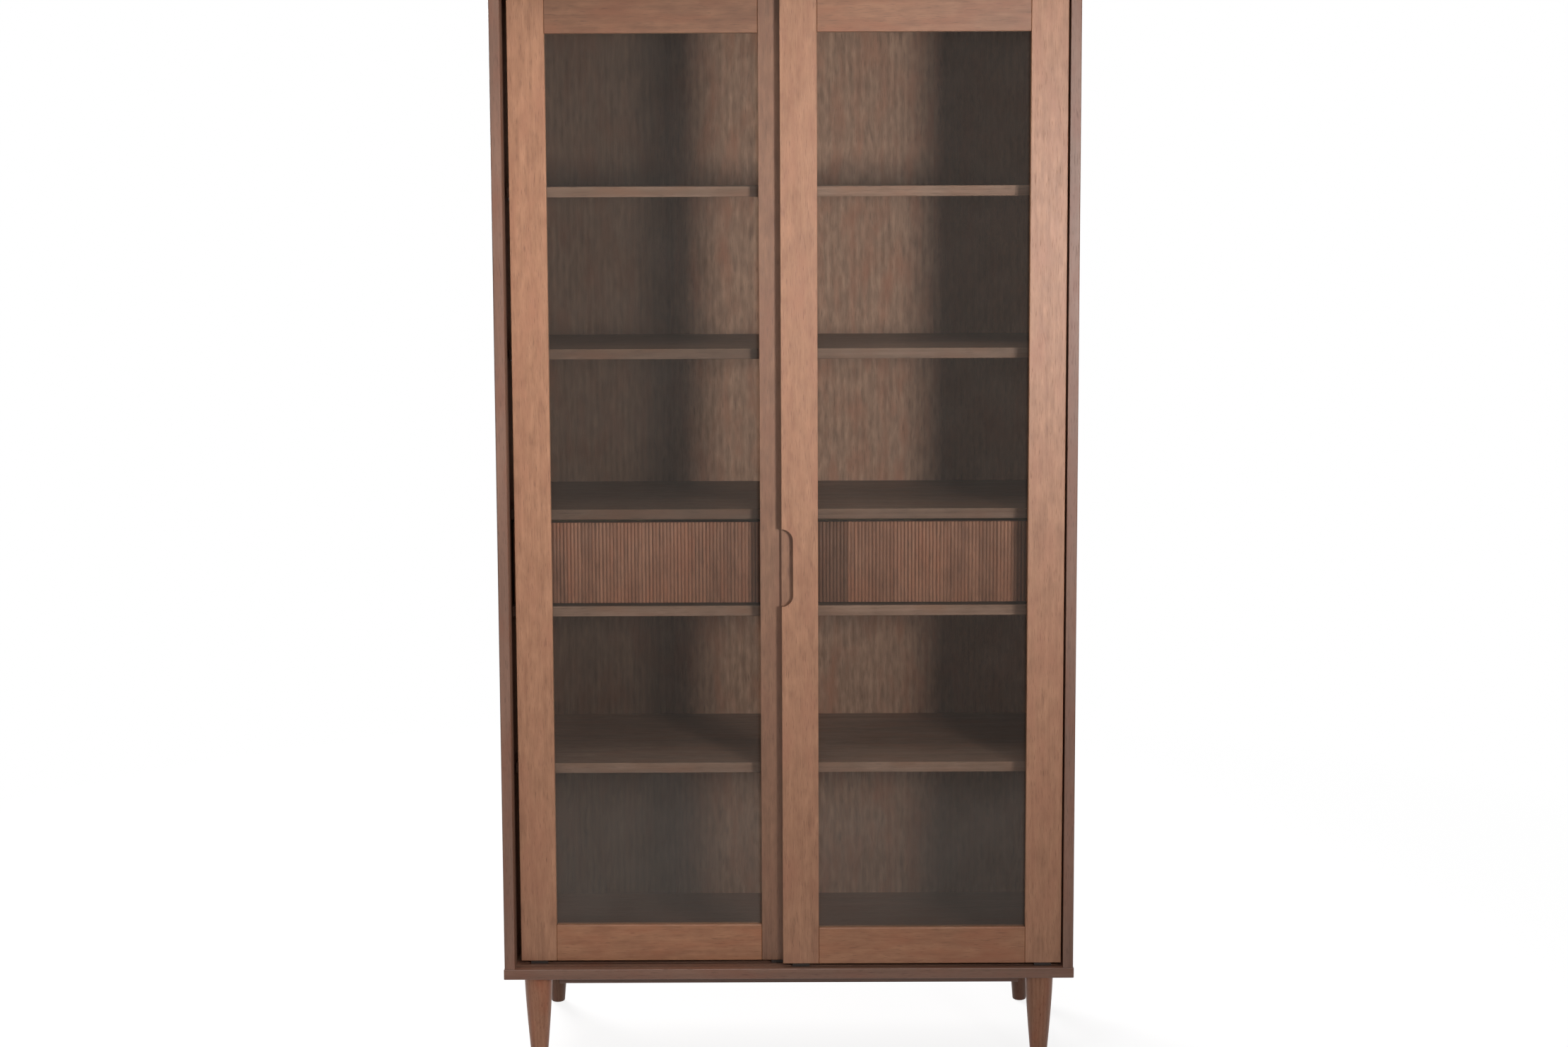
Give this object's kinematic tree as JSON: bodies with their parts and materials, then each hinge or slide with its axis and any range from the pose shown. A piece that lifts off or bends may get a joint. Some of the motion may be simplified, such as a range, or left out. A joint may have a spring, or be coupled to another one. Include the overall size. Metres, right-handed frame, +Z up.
{
  "type": "display cabinet",
  "caption": "Tall wooden display cabinet on turned legs, with framed glass doors that slide past each other in front of shelves and reeded drawers.",
  "frame": {"origin": "on the floor, under the middle of the case: the centre of the bounding box's bottom face", "axes": "+X to the right seen from the front, +Y from the doors to the back, +Z up"},
  "size_m": [1, 0.45, 1.909],
  "materials": {
    "case_oak": "brown-stained oak veneer, satin lacquer",
    "back_oak": "brown-stained oak veneer, satin lacquer",
    "shelf_oak": "brown-stained oak veneer, satin lacquer",
    "leg_oak": "turned solid oak, brown stain, satin lacquer",
    "door_oak": "solid oak, brown stain, satin lacquer",
    "drawer_front_oak": "reeded oak, brown stain, satin lacquer",
    "drawer_box_wood": "plain hardwood, clear lacquer",
    "door_glass": "clear polished float glass",
    "glide_nylon": "moulded black nylon",
    "shelf_pin_steel": "bright zinc-plated steel"
  },
  "bodies": {
    "case": {"top_board": "case_oak", "bottom_board": "case_oak", "left_side_panel": "case_oak", "right_side_panel": "case_oak", "back_panel": "back_oak", "upper_shelf": "shelf_oak", "middle_shelf": "shelf_oak", "drawer_bay_top": "shelf_oak", "drawer_bay_base": "shelf_oak", "lower_shelf": "shelf_oak", "drawer_bay_divider": "case_oak", "front_left_leg": "leg_oak", "front_right_leg": "leg_oak", "rear_left_leg": "leg_oak", "rear_right_leg": "leg_oak", "front_under_rail": "case_oak", "rear_under_rail": "case_oak", "left_drawer_left_runner": "drawer_box_wood", "left_drawer_right_runner": "drawer_box_wood", "right_drawer_left_runner": "drawer_box_wood", "right_drawer_right_runner": "drawer_box_wood", "upper_shelf_front_left_pin": "shelf_pin_steel", "upper_shelf_front_right_pin": "shelf_pin_steel", "upper_shelf_rear_left_pin": "shelf_pin_steel", "upper_shelf_rear_right_pin": "shelf_pin_steel", "middle_shelf_front_left_pin": "shelf_pin_steel", "middle_shelf_front_right_pin": "shelf_pin_steel", "middle_shelf_rear_left_pin": "shelf_pin_steel", "middle_shelf_rear_right_pin": "shelf_pin_steel", "lower_shelf_front_left_pin": "shelf_pin_steel", "lower_shelf_front_right_pin": "shelf_pin_steel", "lower_shelf_rear_left_pin": "shelf_pin_steel", "lower_shelf_rear_right_pin": "shelf_pin_steel"},
    "front_door": {"front_door_left_stile": "door_oak", "front_door_right_stile": "door_oak", "front_door_top_rail": "door_oak", "front_door_bottom_rail": "door_oak", "front_door_glass": "door_glass", "front_door_left_glide": "glide_nylon", "front_door_right_glide": "glide_nylon"},
    "rear_door": {"rear_door_left_stile": "door_oak", "rear_door_right_stile": "door_oak", "rear_door_top_rail": "door_oak", "rear_door_bottom_rail": "door_oak", "rear_door_glass": "door_glass", "rear_door_left_glide": "glide_nylon", "rear_door_right_glide": "glide_nylon"},
    "left_drawer": {"left_drawer_front": "drawer_front_oak", "left_drawer_inner_front": "drawer_box_wood", "left_drawer_left_side": "drawer_box_wood", "left_drawer_right_side": "drawer_box_wood", "left_drawer_back": "drawer_box_wood", "left_drawer_bottom": "drawer_box_wood"},
    "right_drawer": {"right_drawer_front": "drawer_front_oak", "right_drawer_inner_front": "drawer_box_wood", "right_drawer_left_side": "drawer_box_wood", "right_drawer_right_side": "drawer_box_wood", "right_drawer_back": "drawer_box_wood", "right_drawer_bottom": "drawer_box_wood"}
  },
  "joints": [
    {"name": "front_door_slide", "type": "slide", "parent": "case", "child": "front_door", "axis": [-1, 0, 0], "range_m": [0, 0.468]},
    {"name": "rear_door_slide", "type": "slide", "parent": "case", "child": "rear_door", "axis": [1, 0, 0], "range_m": [-0.006, 0.462]},
    {"name": "left_drawer_slide", "type": "slide", "parent": "case", "child": "left_drawer", "axis": [0, -1, 0], "range_m": [0, 0.014]},
    {"name": "right_drawer_slide", "type": "slide", "parent": "case", "child": "right_drawer", "axis": [0, -1, 0], "range_m": [0, 0.014]}
  ]
}
